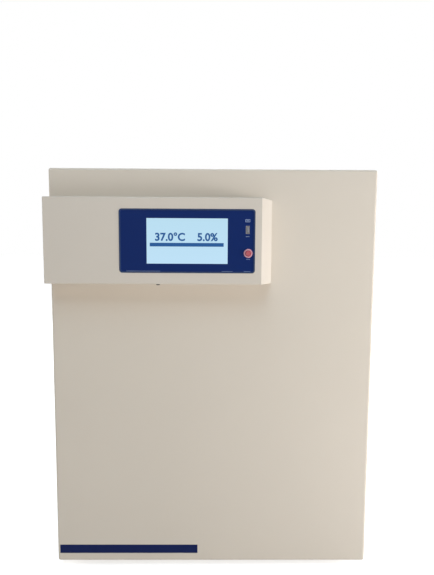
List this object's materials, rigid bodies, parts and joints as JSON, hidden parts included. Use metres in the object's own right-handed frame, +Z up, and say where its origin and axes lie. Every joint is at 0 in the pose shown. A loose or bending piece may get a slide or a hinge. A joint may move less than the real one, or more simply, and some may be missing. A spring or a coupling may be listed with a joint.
{
  "type": "carbon dioxide incubator",
  "caption": "Bench-top carbon dioxide incubator with a steel outer door, a control box with touch screen, an inner glass door and a coved chamber with shelves.",
  "frame": {"origin": "on the bench under the middle of the whole depth and of the cabinet's width", "axes": "+Z up, -Y towards the front, +X to the right seen from the front"},
  "size_m": [0.6588, 0.737, 0.833],
  "materials": {
    "cabinet_paint": "satin powder coat",
    "door_paint": "satin powder coat",
    "chamber_steel": "bright annealed sheet",
    "shelf_steel": "brushed sheet",
    "hinge_steel": "satin",
    "zinc_steel": "zinc plated sheet",
    "insulation": "rigid foam, matte",
    "door_rubber": "soft, matte",
    "silicone": "soft, satin",
    "clear_glass": "polished",
    "console_plastic": "fine texture",
    "rim_plastic": "satin",
    "fascia_film": "satin film",
    "screen": "glossy, lit",
    "socket_metal": "nickel",
    "button_ring": "glossy",
    "button_red": "glossy",
    "black_plastic": "satin",
    "grey_plastic": "satin",
    "motor_metal": "cast",
    "fan_plastic": "moulded",
    "brass": "turned",
    "circuit": "solder mask",
    "stopper_rubber": "silicone, matte",
    "foot_rubber": "matte",
    "magnet": "satin"
  },
  "bodies": {
    "cabinet": {"side_panel_left": "cabinet_paint", "side_panel_right": "cabinet_paint", "top_panel": "cabinet_paint", "base_pan": "zinc_steel", "back_panel": "zinc_steel", "insulation_left": "insulation", "insulation_right": "insulation", "insulation_top": "insulation", "insulation_bottom": "insulation", "insulation_rear": "insulation", "chamber_liner": "chamber_steel", "inner_gasket": "silicone", "shelf_rack_left": "shelf_steel", "shelf_rack_right": "shelf_steel", "air_duct_panel": "chamber_steel", "fan_motor": "motor_metal", "co2_sensor": "shelf_steel", "port_sleeve": "grey_plastic", "co2_inlet_fitting": "brass", "solenoid_valve": "brass", "control_board": "circuit", "power_supply": "motor_metal", "mains_inlet": "black_plastic", "mains_switch_frame": "black_plastic", "wall_spacer_left": "grey_plastic", "wall_spacer_right": "grey_plastic", "cabinet_hinge_lower": "hinge_steel", "cabinet_hinge_upper": "hinge_steel", "glass_hinge_lower": "hinge_steel", "glass_hinge_upper": "hinge_steel", "glass_catch": "magnet"},
    "outer_door": {"door_skin": "door_paint", "door_insulation": "insulation", "door_liner": "chamber_steel", "door_gasket": "door_rubber", "door_grip_cup": "grey_plastic", "door_hinge_lower": "hinge_steel", "door_hinge_upper": "hinge_steel", "console_housing": "console_plastic", "console_bezel": "rim_plastic", "console_overlay": "fascia_film", "touch_screen": "screen", "usb_socket": "socket_metal", "button_ring": "button_ring"},
    "red_button": {"button_cap": "button_red"},
    "inner_door": {"glass_door": "clear_glass", "glass_clamp_lower": "grey_plastic", "glass_clamp_upper": "grey_plastic", "glass_knob": "hinge_steel"},
    "upper_shelf": {"shelf_upper": "shelf_steel"},
    "middle_shelf": {"shelf_middle": "shelf_steel"},
    "lower_shelf": {"shelf_lower": "shelf_steel"},
    "tray": {"water_tray": "chamber_steel"},
    "fan": {"fan_impeller": "fan_plastic"},
    "stopper": {"port_stopper": "stopper_rubber"},
    "rocker": {"mains_switch_rocker": "black_plastic"},
    "front_left_foot": {"foot_front_left": "foot_rubber"},
    "front_right_foot": {"foot_front_right": "foot_rubber"},
    "rear_left_foot": {"foot_rear_left": "foot_rubber"},
    "rear_right_foot": {"foot_rear_right": "foot_rubber"}
  },
  "joints": [
    {"name": "door_swing", "type": "hinge", "parent": "cabinet", "child": "outer_door", "pos_m": [0.329, -0.2575, 0.4245], "axis": [0, 0, 1], "range_deg": [0, 150]},
    {"name": "glass_swing", "type": "hinge", "parent": "cabinet", "child": "inner_door", "pos_m": [0.29, -0.2605, 0.42], "axis": [0, 0, 1], "range_deg": [0, 142.5]},
    {"name": "button_press", "type": "slide", "parent": "outer_door", "child": "red_button", "axis": [0, 1, 0], "range_m": [0, 0.002], "stiffness_N_per_m": 300, "springref_m": -0.002},
    {"name": "upper_shelf_slide", "type": "slide", "parent": "cabinet", "child": "upper_shelf", "axis": [0, -1, 0], "range_m": [0, 0.2226]},
    {"name": "middle_shelf_slide", "type": "slide", "parent": "cabinet", "child": "middle_shelf", "axis": [0, -1, 0], "range_m": [0, 0.2226]},
    {"name": "lower_shelf_slide", "type": "slide", "parent": "cabinet", "child": "lower_shelf", "axis": [0, -1, 0], "range_m": [0, 0.2226]},
    {"name": "tray_slide", "type": "slide", "parent": "cabinet", "child": "tray", "axis": [0, -1, 0], "range_m": [0, 0.2226]},
    {"name": "fan_spin", "type": "hinge", "parent": "cabinet", "child": "fan", "pos_m": [0, 0.225, 0.61], "axis": [0, 1, 0], "continuous": true},
    {"name": "stopper_pull", "type": "slide", "parent": "cabinet", "child": "stopper", "axis": [0, 1, 0], "range_m": [0, 0.06]},
    {"name": "mains_switch", "type": "hinge", "parent": "cabinet", "child": "rocker", "pos_m": [0.15, 0.3265, 0.086], "axis": [-1, 0, 0], "range_deg": [0, 18]},
    {"name": "front_left_levelling", "type": "slide", "parent": "cabinet", "child": "front_left_foot", "axis": [0, 0, -1], "range_m": [0, 0.012]},
    {"name": "front_right_levelling", "type": "slide", "parent": "cabinet", "child": "front_right_foot", "axis": [0, 0, -1], "range_m": [0, 0.012]},
    {"name": "rear_left_levelling", "type": "slide", "parent": "cabinet", "child": "rear_left_foot", "axis": [0, 0, -1], "range_m": [0, 0.012]},
    {"name": "rear_right_levelling", "type": "slide", "parent": "cabinet", "child": "rear_right_foot", "axis": [0, 0, -1], "range_m": [0, 0.012]}
  ],
  "couplings": [
    {"joint": "glass_swing", "follows": "door_swing", "ratio": 0.95},
    {"joint": "upper_shelf_slide", "follows": "door_swing", "m_per_rad": 0.085},
    {"joint": "middle_shelf_slide", "follows": "door_swing", "m_per_rad": 0.085},
    {"joint": "lower_shelf_slide", "follows": "door_swing", "m_per_rad": 0.085},
    {"joint": "tray_slide", "follows": "door_swing", "m_per_rad": 0.085}
  ]
}
